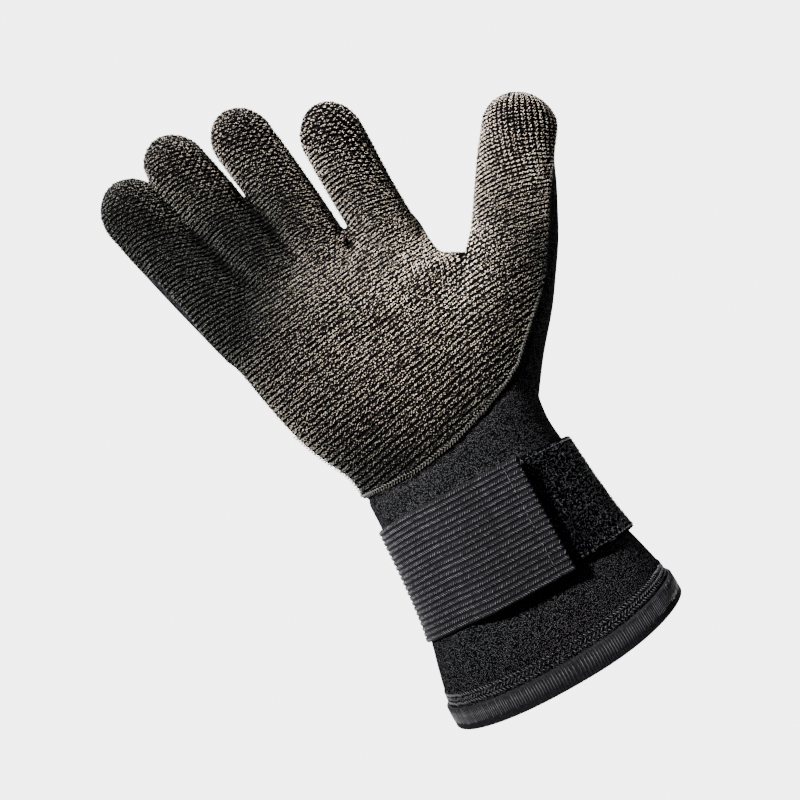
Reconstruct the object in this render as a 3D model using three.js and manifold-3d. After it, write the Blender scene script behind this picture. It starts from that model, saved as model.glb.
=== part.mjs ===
// A right-hand diving glove of foam neoprene, filled out and lying on its back with the palm up.
// Millimetres. +Y runs from the cuff to the fingertips, +X towards the thumb, +Z up out of the palm.
// While it is shaped, the origin is on the floor under the middle of the wrist crease.
import * as THREE from "three";
import { mergeVertices } from "three/addons/utils/BufferGeometryUtils.js";
import Module from "manifold-3d";

const wasm = await Module();
wasm.setup();

// Cloth
const wall = 3; // foam neoprene with a knitted face on each side
const gap = 0.3; // between two pieces that are sewn or pressed together

// Cuff, from the wrist crease to the hem
const cuffLength = 94.5;
const wristWidth = 83.5;
const wristDepth = 50;
const wristLift = 5; // the wrist's back above the floor
const hemWidth = 106;
const hemDepth = 69;
const hemDrift = -1.2; // the hem's middle, sideways from the wrist's
const hemRiseThumb = 5; // the hem is nearer the hand on its sides than in front
const hemRiseLittle = 2;

// Palm, from the wrist crease to the forks of the fingers
const palmLength = 106;
const palmWidth = 104; // across the knuckles
const palmDepth = 40; // at the knuckles
const palmDrift = -15.5; // the knuckles' middle, sideways from the wrist's
const press = 1.5; // how far the back is pressed flat by the floor

// Fingers and thumb
const fingerLength = 90; // the middle finger, from inside the palm to its tip
const fingerWidth = 26.5;
const fingerDepth = 24.5;
const thumbLength = 149.5; // from inside the wrist to its tip
const thumbWidth = 34;

// Binding folded round the raw edge of the cuff
const bindingThickness = 1.2;
const bindingReach = 9;

// Closure: elastic strap, hook tab under its free end, loop strip sewn to the cuff
const strapWidth = 50.8;
const strapThickness = 1.6;
const loopWidth = 48;
const loopThickness = 2.8;
const hookThickness = 1.5;
const hookMargin = 2.5; // the tab is narrower than the strap by this on each side
const bandAlong = 34.6; // from the wrist crease to the middle of the closure
const bandSlant = 4; // nearer the hand by this in front, further by this behind
const bandTilt = 1.9; // further from the hand by this on the thumb side, nearer on the other

// Angles round the wrist: 0 is the thumb side, 90 the palm side, 270 the back
const strapFreeEnd = 69;
const strapSkew = 3.5; // its free end is this much further round at the hem's edge
const strapSewnEnd = 316;
const strapSettled = 128; // past here the strap lies on the cuff
const hookInset = 2; // the hook tab starts this much further round than the strap
const hookEnd = 96;
const loopHiddenEnd = 102;
const loopSewnEnd = -40;

const armSides = 32;
const fingerSides = 14;
const roundness = 2.3; // exponent of the sections' superellipse

// Sections of the cuff: along is a share of its length, flare goes from wrist to hem, lift is a share of wristLift
const cuffTable = [
  { along: 1.0, flare: 1.0, lift: 0.0 },
  { along: 0.93, flare: 0.99, lift: 0.06 },
  { along: 0.86, flare: 0.94, lift: 0.22 },
  { along: 0.74, flare: 0.73, lift: 0.42 },
  { along: 0.61, flare: 0.47, lift: 0.58 },
  { along: 0.35, flare: 0.19, lift: 0.84 },
  { along: 0.16, flare: 0.08, lift: 0.95 },
  { along: 0.0, flare: 0.0, lift: 1.0 },
];

// Sections of the palm: along is a share of its length. The rest go from 0 at the wrist to 1 at the knuckles:
// spread is the width, drift the middle, settle the top and sink the back.
const palmTable = [
  { along: 0.09, spread: 0.06, drift: -0.05, settle: 0.03, sink: 0.15 },
  { along: 0.19, spread: 0.25, drift: -0.05, settle: 0.12, sink: 0.38 },
  { along: 0.28, spread: 0.57, drift: 0.04, settle: 0.26, sink: 0.6 },
  { along: 0.4, spread: 0.89, drift: 0.13, settle: 0.4, sink: 0.9 },
  { along: 0.51, spread: 1.13, drift: 0.17, settle: 0.53, sink: 1 },
  { along: 0.62, spread: 1.24, drift: 0.25, settle: 0.67, sink: 1 },
  { along: 0.68, spread: 1.3, drift: 0.29, settle: 0.73, sink: 1 },
  { along: 0.72, spread: 1.2, drift: 0.41, settle: 0.77, sink: 1 },
  { along: 0.75, spread: 0.79, drift: 0.74, settle: 0.82, sink: 1 },
  { along: 0.84, spread: 0.84, drift: 0.87, settle: 1, sink: 1 },
  { along: 0.92, spread: 0.91, drift: 0.94, settle: 1.24, sink: 0.87 },
  { along: 0.98, spread: 0.96, drift: 1.02, settle: 1.5, sink: 0.6 },
];
const palmEnd = [
  { along: 1.02, share: 0.93, depth: 0.8 },
  { along: 1.045, share: 0.84, depth: 0.45 },
];

// Fingers, from the index to the little finger: across and along place the root, from the knuckles' middle and the wrist crease, in shares of the palm.
// Heading is in degrees towards the thumb, bow is sideways in shares of the finger's length,
// curl is the rise of the tip in shares of the finger's depth.
const fingerTable = [
  { across: 0.36, along: 0.79, heading: 0.9, bow: 0, length: 0.865, width: 1.0, curl: 0.5 },
  { across: 0.102, along: 0.84, heading: -4.7, bow: 0, length: 1.01, width: 0.99, curl: 0.16 },
  { across: -0.08, along: 0.84, heading: -11.6, bow: 0, length: 1.07, width: 0.975, curl: 0.26 },
  { across: -0.332, along: 0.84, heading: -11.7, bow: -0.026, length: 0.995, width: 1.055, curl: 0 },
];
const fingerRootHeight = 0.475; // share of palmDepth
const fingerGirth = [
  { along: 0, girth: 0.97, depth: 1.25 },
  { along: 0.28, girth: 0.97, depth: 1.13 },
  { along: 0.5, girth: 0.98, depth: 1.03 },
  { along: 0.72, girth: 1.0, depth: 1.0 },
];
const tipAngles = [0, 26, 46, 62, 77]; // degrees round the rounded tip, up to the apex at 90
const tipLength = 0.58; // of a tip's own width

// Thumb: bow is sideways in shares of its length, width and depth in shares of thumbWidth,
// height of its middle in shares of palmDepth
const thumbRoot = { across: 0.147, along: 0, heading: 33.3 };
const thumbTable = [
  { along: 0, bow: 0, width: 0.94, depth: 0.94, height: 0.66 },
  { along: 0.12, bow: -0.014, width: 1.2, depth: 1.18, height: 0.66 },
  { along: 0.27, bow: -0.013, width: 1.28, depth: 1.34, height: 0.68 },
  { along: 0.41, bow: 0.007, width: 1.26, depth: 1.33, height: 0.69 },
  { along: 0.5, bow: 0.022, width: 1.16, depth: 1.22, height: 0.7 },
  { along: 0.58, bow: 0.034, width: 1.07, depth: 1.1, height: 0.71 },
  { along: 0.73, bow: 0.029, width: 1.01, depth: 0.97, height: 0.74 },
  { along: 0.82, bow: 0.026, width: 0.97, depth: 0.91, height: 0.78 },
  { along: 0.892, bow: 0.028, width: 0.93, depth: 0.88, height: 0.81 },
];
const thumbApexBow = 0.019;

// Seam between palm panel and neoprene body. Its height is a share of palmDepth along the sides of the palm.
const seamHeight = 0.58;
const seamTipRise = 2.5; // further above the middle of a finger at its tip
const thumbSeamFrom = 0.6; // share of the thumb's length where its seam leaves the palm's height
const thumbSeamTip = 0.86; // its height at the tip, in shares of palmDepth
// The edge of the palm panel over the wrist and along the thumb, in shares of palmWidth and palmLength
const wristSeam = [
  { across: -0.4, along: 0.076 },
  { across: -0.17, along: 0.068 },
  { across: 0.01, along: 0.09 },
  { across: 0.2, along: 0.145 },
  { across: 0.3, along: 0.18 },
  { across: 0.39, along: 0.227 },
  { across: 0.46, along: 0.29 },
  { across: 0.52, along: 0.344 },
  { across: 0.63, along: 0.438 },
  { across: 0.705, along: 0.53 },
  { across: 0.77, along: 0.623 },
  { across: 0.83, along: 0.717 },
  { across: 0.9, along: 0.81 },
  { across: 1.02, along: 0.96 },
];
// The same edge where it turns in from the side of the little finger
const littleSeam = [
  { across: -0.79, along: 1.32 },
  { across: -0.692, along: 1.25 },
  { across: -0.672, along: 1.17 },
  { across: -0.652, along: 1.07 },
  { across: -0.642, along: 0.98 },
  { across: -0.68, along: 0.9 },
];
const clear = 60; // how far cutting shapes stand outside the glove

const degrees = (angle) => THREE.MathUtils.degToRad(angle);
const mix = THREE.MathUtils.lerp;

// Booleans
function solidOf(geometry) {
  const bare = geometry.clone();
  bare.deleteAttribute("normal");
  bare.deleteAttribute("uv");
  const merged = mergeVertices(bare);
  return new wasm.Manifold(
    new wasm.Mesh({
      numProp: 3,
      vertProperties: new Float32Array(merged.attributes.position.array),
      triVerts: new Uint32Array(merged.index.array),
    }),
  );
}

function geometryOf(solid) {
  const mesh = solid.getMesh();
  const geometry = new THREE.BufferGeometry();
  geometry.setAttribute("position", new THREE.BufferAttribute(mesh.vertProperties, 3));
  geometry.setIndex(new THREE.BufferAttribute(mesh.triVerts, 1));
  return geometry.toNonIndexed();
}

const union = (solids) => solids.reduce((whole, solid) => whole.add(solid));

// A closed mesh from points and triangles, turned to face out
function closedMesh(points, triangles) {
  let volume = 0;
  const crossed = new THREE.Vector3();
  for (const [a, b, c] of triangles) {
    volume += points[a].dot(crossed.crossVectors(points[b], points[c]));
  }
  const facing = volume < 0 ? triangles.map(([a, b, c]) => [a, c, b]) : triangles;
  const geometry = new THREE.BufferGeometry();
  geometry.setAttribute(
    "position",
    new THREE.Float32BufferAttribute(points.flatMap((p) => p.toArray()), 3),
  );
  geometry.setIndex(facing.flat());
  return geometry;
}

// Skin over rings of equal point counts, closed at both ends to their middles or to a given tip
function loft(rings, tip) {
  const sides = rings[0].length;
  const points = rings.flat();
  const triangles = [];
  for (let r = 0; r + 1 < rings.length; r++) {
    for (let i = 0; i < sides; i++) {
      const a = r * sides + i;
      const b = r * sides + ((i + 1) % sides);
      triangles.push([a, b, b + sides], [a, b + sides, a + sides]);
    }
  }
  const middle = (ring) =>
    ring.reduce((sum, p) => sum.add(p), new THREE.Vector3()).divideScalar(sides);
  const ends = [
    { first: 0, hub: middle(rings[0]), turn: 1 },
    { first: (rings.length - 1) * sides, hub: tip ?? middle(rings.at(-1)), turn: 0 },
  ];
  for (const { first, hub, turn } of ends) {
    const hubIndex = points.push(hub) - 1;
    for (let i = 0; i < sides; i++) {
      const a = first + i;
      const b = first + ((i + 1) % sides);
      triangles.push(turn ? [b, a, hubIndex] : [a, b, hubIndex]);
    }
  }
  return closedMesh(points, triangles);
}

const signedPower = (value, power) => Math.sign(value) * Math.abs(value) ** power;

// Cuff and palm sections, from the hem to the knuckles
function armRows() {
  const lie = bindingThickness + gap; // the cuff's back, held up by the binding under it
  const wristTop = wristLift + wristDepth;
  const cuff = cuffTable.map(({ along, flare, lift }) => {
    const width = mix(wristWidth, hemWidth, flare);
    const middle = hemDrift * flare;
    return {
      y: -along * cuffLength,
      left: middle - width / 2,
      right: middle + width / 2,
      bottom: mix(lie - press, wristLift, lift),
      top: mix(wristTop, lie - press + hemDepth, flare),
      thumbRise: flare * hemRiseThumb,
      littleRise: flare * hemRiseLittle,
      lie,
    };
  });
  const palm = palmTable.map(({ along, spread, drift, settle, sink }) => {
    const width = mix(wristWidth, palmWidth, spread);
    return {
      y: along * palmLength,
      left: palmDrift * drift - width / 2,
      right: palmDrift * drift + width / 2,
      bottom: mix(wristLift, -press, sink),
      top: mix(wristTop, palmDepth, settle),
      thumbRise: 0,
      littleRise: 0,
      lie: mix(lie, 0, Math.min(1, along / 0.4)),
    };
  });
  return [...cuff, ...palm];
}
const rows = armRows();

// The rounded end of the palm between the fingers, shrunk from its last section
function palmEndRows(last) {
  return palmEnd.map(({ along, share, depth }) => {
    const middle = (last.left + last.right) / 2;
    const half = ((last.right - last.left) / 2) * share;
    const height = (last.bottom + last.top) / 2;
    const halfDepth = ((last.top - last.bottom) / 2) * depth;
    return {
      ...last,
      y: along * palmLength,
      left: middle - half,
      right: middle + half,
      bottom: height - halfDepth,
      top: height + halfDepth,
    };
  });
}

// A point of a cuff or palm section, at an angle, moved out by grow
function armPoint(row, angle, grow) {
  const half = (row.right - row.left) / 2 + grow;
  const middle = (row.left + row.right) / 2;
  const height = mix(row.bottom, row.top, 0.47);
  const cosine = Math.cos(angle);
  const c = signedPower(cosine, 2 / roundness);
  const s = signedPower(Math.sin(angle), 2 / roundness);
  const reach = s > 0 ? row.top - height + grow : height - row.bottom + grow;
  const y = row.y + (cosine > 0 ? row.thumbRise : row.littleRise) * cosine * cosine;
  return new THREE.Vector3(middle + half * c, y, Math.max(height + reach * s, row.lie - grow));
}

function armRing(row, grow, sides = armSides) {
  return Array.from({ length: sides }, (_, i) => armPoint(row, (2 * Math.PI * i) / sides, grow));
}

// The cuff's section at any y, between the table's rows
function cuffRow(y) {
  const at = rows.findIndex((row, i) => i + 1 === rows.length - 1 || rows[i + 1].y >= y);
  const a = rows[at];
  const b = rows[at + 1];
  const share = (y - a.y) / (b.y - a.y);
  const row = {};
  for (const key of Object.keys(a)) row[key] = mix(a[key], b[key], share);
  row.y = y;
  return row;
}

function armSolid(grow) {
  const last = rows.at(-1);
  const mouth = grow < 0 ? [{ ...rows[0], y: rows[0].y + grow }] : [];
  const body = [...mouth, ...rows.slice(0, -1), { ...last, y: last.y + grow }];
  const end = palmEndRows(last).map((row) => ({ ...row, y: row.y + grow }));
  return solidOf(loft([...body, ...end].map((row) => armRing(row, grow))));
}

// A round tube through stations, with a rounded tip past the last one
function tubeSolid(stations, apex, grow) {
  const ring = ({ centre, side, up, halfWidth, halfDepth }, share = 1) =>
    Array.from({ length: fingerSides }, (_, i) => {
      const angle = (2 * Math.PI * i) / fingerSides;
      return centre
        .clone()
        .addScaledVector(side, Math.cos(angle) * (halfWidth + grow) * share)
        .addScaledVector(up, Math.sin(angle) * (halfDepth + grow) * share);
    });
  const last = stations.at(-1);
  const ahead = apex.clone().sub(last.centre);
  const tip = last.centre.clone().addScaledVector(ahead, 1 + grow / ahead.length());
  const rounded = tipAngles.slice(1).map((angle) => {
    const centre = last.centre.clone().lerp(tip, Math.sin(degrees(angle)));
    return ring({ ...last, centre }, Math.cos(degrees(angle)));
  });
  return solidOf(loft([...stations.map((station) => ring(station)), ...rounded], tip));
}

// Directions of a finger from its heading and the slope of its middle line
function frameAt(heading, slope) {
  const turn = degrees(heading);
  const side = new THREE.Vector3(Math.cos(turn), -Math.sin(turn), 0);
  const ahead = new THREE.Vector3(Math.sin(turn), Math.cos(turn), slope).normalize();
  return { side, ahead, up: side.clone().cross(ahead) };
}

function fingerPath({ across, along, heading, bow, length, width, curl }) {
  const root = new THREE.Vector3(
    palmDrift + across * palmWidth,
    along * palmLength,
    fingerRootHeight * palmDepth,
  );
  const reach = length * fingerLength;
  const rise = curl * fingerDepth;
  const level = frameAt(heading, 0);
  const at = (share) =>
    root
      .clone()
      .addScaledVector(level.ahead, share * reach)
      .addScaledVector(level.side, 4 * bow * reach * share * (1 - share))
      .add(new THREE.Vector3(0, 0, rise * share * share));
  const frame = (share) => frameAt(heading, (2 * rise * share) / reach);
  const bare = 1 - (tipLength * width * fingerWidth) / reach; // where the rounded tip begins
  const shares = [...fingerGirth, { along: bare, girth: 1, depth: 1 }];
  const stations = shares.map((row) => ({
    centre: at(row.along),
    ...frame(row.along),
    halfWidth: (row.girth * width * fingerWidth) / 2,
    halfDepth: (row.depth * width * fingerDepth) / 2,
  }));
  return { heading, root, reach, rise, stations, apex: at(1) };
}

function thumbPath() {
  const { across, along, heading } = thumbRoot;
  const root = new THREE.Vector3(across * palmWidth, along * palmLength, 0);
  const { side, ahead } = frameAt(heading, 0);
  const stations = thumbTable.map((row) => ({
    centre: root
      .clone()
      .addScaledVector(ahead, row.along * thumbLength)
      .addScaledVector(side, row.bow * thumbLength)
      .setZ(row.height * palmDepth),
    ...frameAt(heading, 0.05),
    halfWidth: (row.width * thumbWidth) / 2,
    halfDepth: (row.depth * thumbWidth) / 2,
  }));
  const apex = root
    .clone()
    .addScaledVector(ahead, thumbLength)
    .addScaledVector(side, thumbApexBow * thumbLength)
    .setZ(stations.at(-1).centre.z + 1);
  return { heading, root, stations, apex };
}

const fingers = fingerTable.map(fingerPath);
const thumb = thumbPath();

// The whole skin's outside, or its hollow when grow is minus the wall
function handSolid(grow) {
  const tubes = [...fingers, thumb].map(({ stations, apex }) => tubeSolid(stations, apex, grow));
  return union([armSolid(grow), ...tubes]);
}

// A prism from a side profile, drawn along a heading and up, and as wide as asked
function sidePrism(profile, origin, heading, halfWidth) {
  const shape = new THREE.Shape(profile.map(([along, z]) => new THREE.Vector2(along, z)));
  const geometry = new THREE.ExtrudeGeometry(shape, { depth: 2 * halfWidth, bevelEnabled: false });
  geometry.translate(0, 0, -halfWidth);
  const { side, ahead } = frameAt(heading, 0);
  geometry.applyMatrix4(
    new THREE.Matrix4().makeBasis(ahead, new THREE.Vector3(0, 0, 1), side).setPosition(origin),
  );
  return solidOf(geometry);
}

// Everything on the palm's side of the seam that runs round the hand at mid height
function palmSide(lift) {
  const level = seamHeight * palmDepth + lift;
  const above = palmDepth + clear;
  const forks = palmLength * 1.055;
  const palmBlock = sidePrism(
    [[-clear, level], [forks, level], [forks, above], [-clear, above]],
    new THREE.Vector3(palmDrift, 0, 0),
    0,
    palmWidth * 0.66,
  );
  const fingerBlocks = fingers.map(({ heading, root, reach, rise, stations }) => {
    const from = (palmLength - root.y) / reach;
    const steps = [0, 0.3, 0.55, 0.8, 1, 1.2];
    const line = steps.map((step) => [
      mix(from, 1, step) * reach,
      level + (rise + seamTipRise) * step * step,
    ]);
    const end = line.at(-1)[0];
    const profile = [...line, [end, above], [line[0][0], above]];
    const base = new THREE.Vector3(root.x, root.y, 0);
    return sidePrism(profile, base, heading, stations.at(-1).halfWidth + gap);
  });
  const thumbEnd = 1.2 * thumbLength;
  const thumbLine = [
    [0, level],
    [thumbSeamFrom * thumbLength, level],
    [thumbLength, thumbSeamTip * palmDepth + lift],
    [thumbEnd, thumbSeamTip * palmDepth + lift],
    [thumbEnd, above],
    [0, above],
  ];
  const thumbBlock = sidePrism(thumbLine, thumb.root, thumb.heading, thumbWidth * 0.8);
  return union([palmBlock, ...fingerBlocks, thumbBlock]);
}

// The palm panel's outline from above, as a tall prism
function panelPrism(inset) {
  const place = ({ across, along }) => new THREE.Vector2(across * palmWidth, along * palmLength);
  const wrist = wristSeam.map(place);
  const little = littleSeam.map(place);
  const far = palmWidth + clear;
  const top = palmLength + fingerLength + clear;
  const shape = new THREE.Shape();
  shape.moveTo(-far, wrist[0].y + inset);
  shape.lineTo(wrist[0].x, wrist[0].y + inset);
  shape.splineThru(wrist.slice(1).map((p) => new THREE.Vector2(p.x - inset, p.y + inset)));
  shape.lineTo(far, wrist.at(-1).y + palmLength);
  shape.lineTo(far, top);
  shape.lineTo(-far, top);
  shape.lineTo(-far, little[0].y);
  shape.lineTo(little[0].x + inset, little[0].y);
  shape.splineThru(little.slice(1).map((p) => new THREE.Vector2(p.x + inset, p.y)));
  shape.lineTo(-far, little.at(-1).y);
  return solidOf(
    new THREE.ExtrudeGeometry(shape, {
      depth: palmDepth + 2 * clear,
      bevelEnabled: false,
      curveSegments: 3,
    }),
  );
}

const bandMiddle = (angle) =>
  bandSlant * Math.sin(angle) - bandTilt * Math.cos(angle) - bandAlong;

// Cloth wrapped round the cuff between two angles. The lift gives its underside's height off the cuff.
function wrapMesh({ from, to, skew = 0, width, thickness, lift, steps, across }) {
  const points = [];
  for (const layer of [0, thickness]) {
    for (let i = 0; i <= steps; i++) {
      for (let j = 0; j <= across; j++) {
        const angle = mix(from + skew * (1 - j / across), to, i / steps);
        const middle = bandMiddle(degrees(angle));
        const row = cuffRow(middle + (j / across - 0.5) * width);
        points.push(armPoint(row, degrees(angle), lift(angle) + layer));
      }
    }
  }
  const columns = across + 1;
  const top = (steps + 1) * columns;
  const triangles = [];
  const quad = (a, b, c, d) => triangles.push([a, b, c], [a, c, d]);
  for (let i = 0; i < steps; i++) {
    for (let j = 0; j < across; j++) {
      const a = i * columns + j;
      quad(a, a + 1, a + columns + 1, a + columns);
      quad(top + a, top + a + columns, top + a + columns + 1, top + a + 1);
    }
    for (const [j, turned] of [[0, true], [across, false]]) {
      const a = i * columns + j;
      if (turned) quad(a, a + columns, top + a + columns, top + a);
      else quad(a, top + a, top + a + columns, a + columns);
    }
  }
  for (const [i, turned] of [[0, false], [steps, true]]) {
    for (let j = 0; j < across; j++) {
      const a = i * columns + j;
      if (turned) quad(a, a + 1, top + a + 1, top + a);
      else quad(a, top + a, top + a + 1, a + 1);
    }
  }
  return closedMesh(points, triangles);
}

// How high the strap's underside is: over the loop strip and hook tab at its free end, on the cuff further on
const overLayers = gap + loopThickness + gap + hookThickness + gap;
const strapLift = (angle) =>
  mix(overLayers, gap, THREE.MathUtils.smoothstep(angle, loopHiddenEnd, strapSettled));

const strap = wrapMesh({
  from: strapFreeEnd,
  to: strapSewnEnd,
  skew: strapSkew,
  width: strapWidth,
  thickness: strapThickness,
  lift: strapLift,
  steps: 40,
  across: 4,
});
const loopStrip = wrapMesh({
  from: loopSewnEnd,
  to: loopHiddenEnd,
  width: loopWidth,
  thickness: loopThickness,
  lift: () => gap,
  steps: 24,
  across: 4,
});
const hookTab = wrapMesh({
  from: strapFreeEnd + hookInset,
  to: hookEnd,
  skew: strapSkew,
  width: strapWidth - 2 * hookMargin,
  thickness: hookThickness,
  lift: () => gap + loopThickness + gap,
  steps: 5,
  across: 4,
});

// The binding: a folded strip round the edge of the cuff, swept round the hem
function bindingMesh() {
  const hem = rows[0].y;
  const outside = gap + bindingThickness;
  const inside = -wall - outside;
  const profile = [
    [hem + bindingReach, outside - bindingThickness],
    [hem + bindingReach, outside - bindingThickness * 0.3],
    [hem + bindingReach * 0.8, outside],
    [hem, outside],
    [hem - outside * 0.7, outside * 0.4],
    [hem - outside, -wall / 2],
    [hem - outside * 0.7, inside + outside * 0.6],
    [hem, inside],
    [hem + bindingReach, inside],
    [hem + bindingReach, inside + bindingThickness],
    [hem - gap, inside + bindingThickness],
    [hem - gap, outside - bindingThickness],
  ];
  const points = [];
  for (let i = 0; i < armSides; i++) {
    for (const [y, grow] of profile) {
      const row = { ...cuffRow(Math.max(y, hem)), y };
      points.push(armPoint(row, (2 * Math.PI * i) / armSides, grow));
    }
  }
  const count = profile.length;
  const triangles = [];
  for (let i = 0; i < armSides; i++) {
    for (let k = 0; k < count; k++) {
      const a = i * count + k;
      const b = i * count + ((k + 1) % count);
      const c = ((i + 1) % armSides) * count + k;
      const d = ((i + 1) % armSides) * count + ((k + 1) % count);
      triangles.push([a, b, d], [a, d, c]);
    }
  }
  return closedMesh(points, triangles);
}

const skin = handSolid(0).subtract(handSolid(-wall));
const body = skin.subtract(palmSide(0).intersect(panelPrism(0)));
const panel = skin.intersect(palmSide(gap).intersect(panelPrism(gap)));

const cloth = (color, roughness) => new THREE.MeshStandardMaterial({ color, roughness, metalness: 0 });
const glove = new THREE.Group();
const pieces = [
  ["neoprene_body", geometryOf(body), cloth(0x1b1b1e, 0.9)],
  ["palm_panel", geometryOf(panel), cloth(0x5b5550, 0.85)],
  ["hem_binding", bindingMesh(), cloth(0x202022, 0.85)],
  ["loop_strip", loopStrip, cloth(0x141417, 1)],
  ["hook_tab", hookTab, cloth(0x161618, 0.7)],
  ["strap", strap, cloth(0x2b2b2e, 0.75)],
];
for (const [name, geometry, material] of pieces) {
  const mesh = new THREE.Mesh(geometry, material);
  mesh.name = name;
  glove.add(mesh);
}

// The finished glove stands with its origin on the floor under the middle of its box
const box = new THREE.Box3().setFromObject(glove);
const middle = box.getCenter(new THREE.Vector3());
glove.position.set(-middle.x, -middle.y, -box.min.z);

export default glove;
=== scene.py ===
# A diving glove of neoprene with a knit palm, dressed over its CAD model: palm up on a
# light table, seen from straight above and turned a little. The camera, lamp and table
# are in metres. Every size of the glove is in millimetres, from its pattern's origin.
import math

import bmesh
import bpy
import numpy as np
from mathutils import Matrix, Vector


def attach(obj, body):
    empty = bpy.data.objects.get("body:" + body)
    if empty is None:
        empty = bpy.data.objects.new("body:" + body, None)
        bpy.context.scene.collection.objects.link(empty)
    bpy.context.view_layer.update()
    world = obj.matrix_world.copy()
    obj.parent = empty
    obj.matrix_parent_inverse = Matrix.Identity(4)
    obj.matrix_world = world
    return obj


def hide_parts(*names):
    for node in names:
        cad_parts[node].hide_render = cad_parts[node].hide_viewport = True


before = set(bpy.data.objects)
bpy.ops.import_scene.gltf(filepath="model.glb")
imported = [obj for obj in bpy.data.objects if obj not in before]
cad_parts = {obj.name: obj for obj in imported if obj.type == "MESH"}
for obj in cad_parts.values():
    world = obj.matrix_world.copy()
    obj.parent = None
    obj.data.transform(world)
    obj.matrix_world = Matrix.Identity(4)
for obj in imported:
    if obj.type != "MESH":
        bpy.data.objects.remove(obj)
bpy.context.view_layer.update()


# ---- The camera: straight above the palm, some 0.62 m over it, turned so that the hand
# points up and to the left of the picture.
def add_object(name, data):
    """A new object in the scene."""
    made = bpy.data.objects.new(name, data)
    bpy.context.collection.objects.link(made)
    return made


camera = add_object("camera", bpy.data.cameras.new("camera"))
camera.location = (-0.0219, -0.0073, 0.660)
camera.rotation_euler = (0, 0, math.radians(-30.2))
camera.data.lens = 67.5
camera.data.clip_start = 0.05
bpy.context.scene.camera = camera


# ---- The studio: a white light table under the glove, which takes no shadow, with a soft
# lamp on the fingers' side and a dim white room round it.
def linear(hexcode):
    """An sRGB hex colour as the linear RGBA that a shader takes."""
    channels = [int(hexcode[i : i + 2], 16) / 255 for i in (1, 3, 5)]
    return tuple(c / 12.92 if c <= 0.04045 else ((c + 0.055) / 1.055) ** 2.4 for c in channels) + (1,)


def add_node(tree, kind, settings=None, **links):
    """Adds one node: its settings, then each input by name from a value or from another socket. The setting stops
    gives a ramp's two stops, each its place and hex colour."""
    made = tree.nodes.new(kind)
    for key, value in (settings or {}).items():
        if key == "stops":
            for stop, (position, colour) in zip(made.color_ramp.elements, value):
                stop.position, stop.color = position, linear(colour)
        else:
            setattr(made, key, value)
    for key, value in links.items():
        key = key.replace("_", " ")
        number = key.rsplit(" ", 1)[-1]
        socket = made.inputs[int(number)] if key.startswith("input ") else made.inputs[key]
        if isinstance(value, bpy.types.NodeSocket):
            tree.links.new(value, socket)
        else:
            socket.default_value = value
    return made


def new_material(name, roughness, gloss, colour="#000000"):
    """A named material with its roughness, specular level and one colour: its tree and surface shader come with it."""
    material = bpy.data.materials.new(name)
    material.use_nodes = True
    shader = material.node_tree.nodes["Principled BSDF"]
    shader.inputs["Roughness"].default_value = roughness
    shader.inputs["Specular IOR Level"].default_value = gloss
    shader.inputs["Base Color"].default_value = linear(colour)
    return material, material.node_tree, shader


# opal acrylic lit from below: evenly white, and too bright for the glove's shadow to show
table_white, tree, shader = new_material("opal_light_table", 0.9, 0.0, "#0c0c0c")
shader.inputs["Emission Color"].default_value = linear("#ffffff")
shader.inputs["Emission Strength"].default_value = 5.0

floor_mesh = bpy.data.meshes.new("table_top")
floor_mesh.from_pydata([(-4, -4, 0), (4, -4, 0), (4, 4, 0), (-4, 4, 0)], [], [(0, 1, 2, 3)])
table_top = add_object("table_top", floor_mesh)
floor_mesh.materials.append(table_white)

room = bpy.data.worlds.new("white_room")
room.use_nodes = True
room.node_tree.nodes["Background"].inputs["Color"].default_value = linear("#ffffff")
room.node_tree.nodes["Background"].inputs["Strength"].default_value = 0.2
bpy.context.scene.world = room

lamp = bpy.data.lights.new("softbox_lamp", "SPOT")
lamp.energy = 510
lamp.spot_size, lamp.spot_blend = math.radians(24), 1.0
lamp.shadow_soft_size = 0.07
softbox = add_object("softbox_lamp", lamp)
softbox.location = (-0.455, 0.62, 0.61)
lit_spot = Vector((0.012, 0.02, 0.03))
softbox.rotation_euler = (lit_spot - softbox.location).to_track_quat("-Z", "Y").to_euler()

# ---- The glove's form: a five-finger diving glove laid palm up, filled out, its fingers
# apart and its cuff flared. It is cut from foam neoprene and sewn along the sides, so the
# skin here is one closed surface that the body and the palm are parted from.
in_part = np.array((-13.654, -43.825, 0.0))  # from the pattern's origin, under the wrist crease
wrist_width, wrist_depth, wrist_lift = 83.5, 50.0, 5.0
cuff_length, hem_width, hem_depth, hem_drift = 94.5, 106.0, 69.0, -1.2
hem_rise_thumb, hem_rise_little = 5.0, 2.0
palm_length, palm_width, palm_depth, palm_drift = 106.0, 104.0, 40.0, -15.5
finger_length, finger_width, finger_depth = 90.0, 26.5, 24.5
thumb_length, thumb_width = 149.5, 34.0
press, lie = 1.5, 1.5  # how far the back is pressed flat, and how high the cuff's back lies on its hem
roundness, widest = 2.3, 0.47  # of the arm's sections: 2 is an ellipse, and the share of the height at the broadest
cuff_table = np.array(  # along, flare, lift
    [(1, 1, 0), (0.93, 0.99, 0.06), (0.86, 0.94, 0.22), (0.74, 0.73, 0.42),
     (0.61, 0.47, 0.58), (0.35, 0.19, 0.84), (0.16, 0.08, 0.95), (0, 0, 1)]
)
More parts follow.
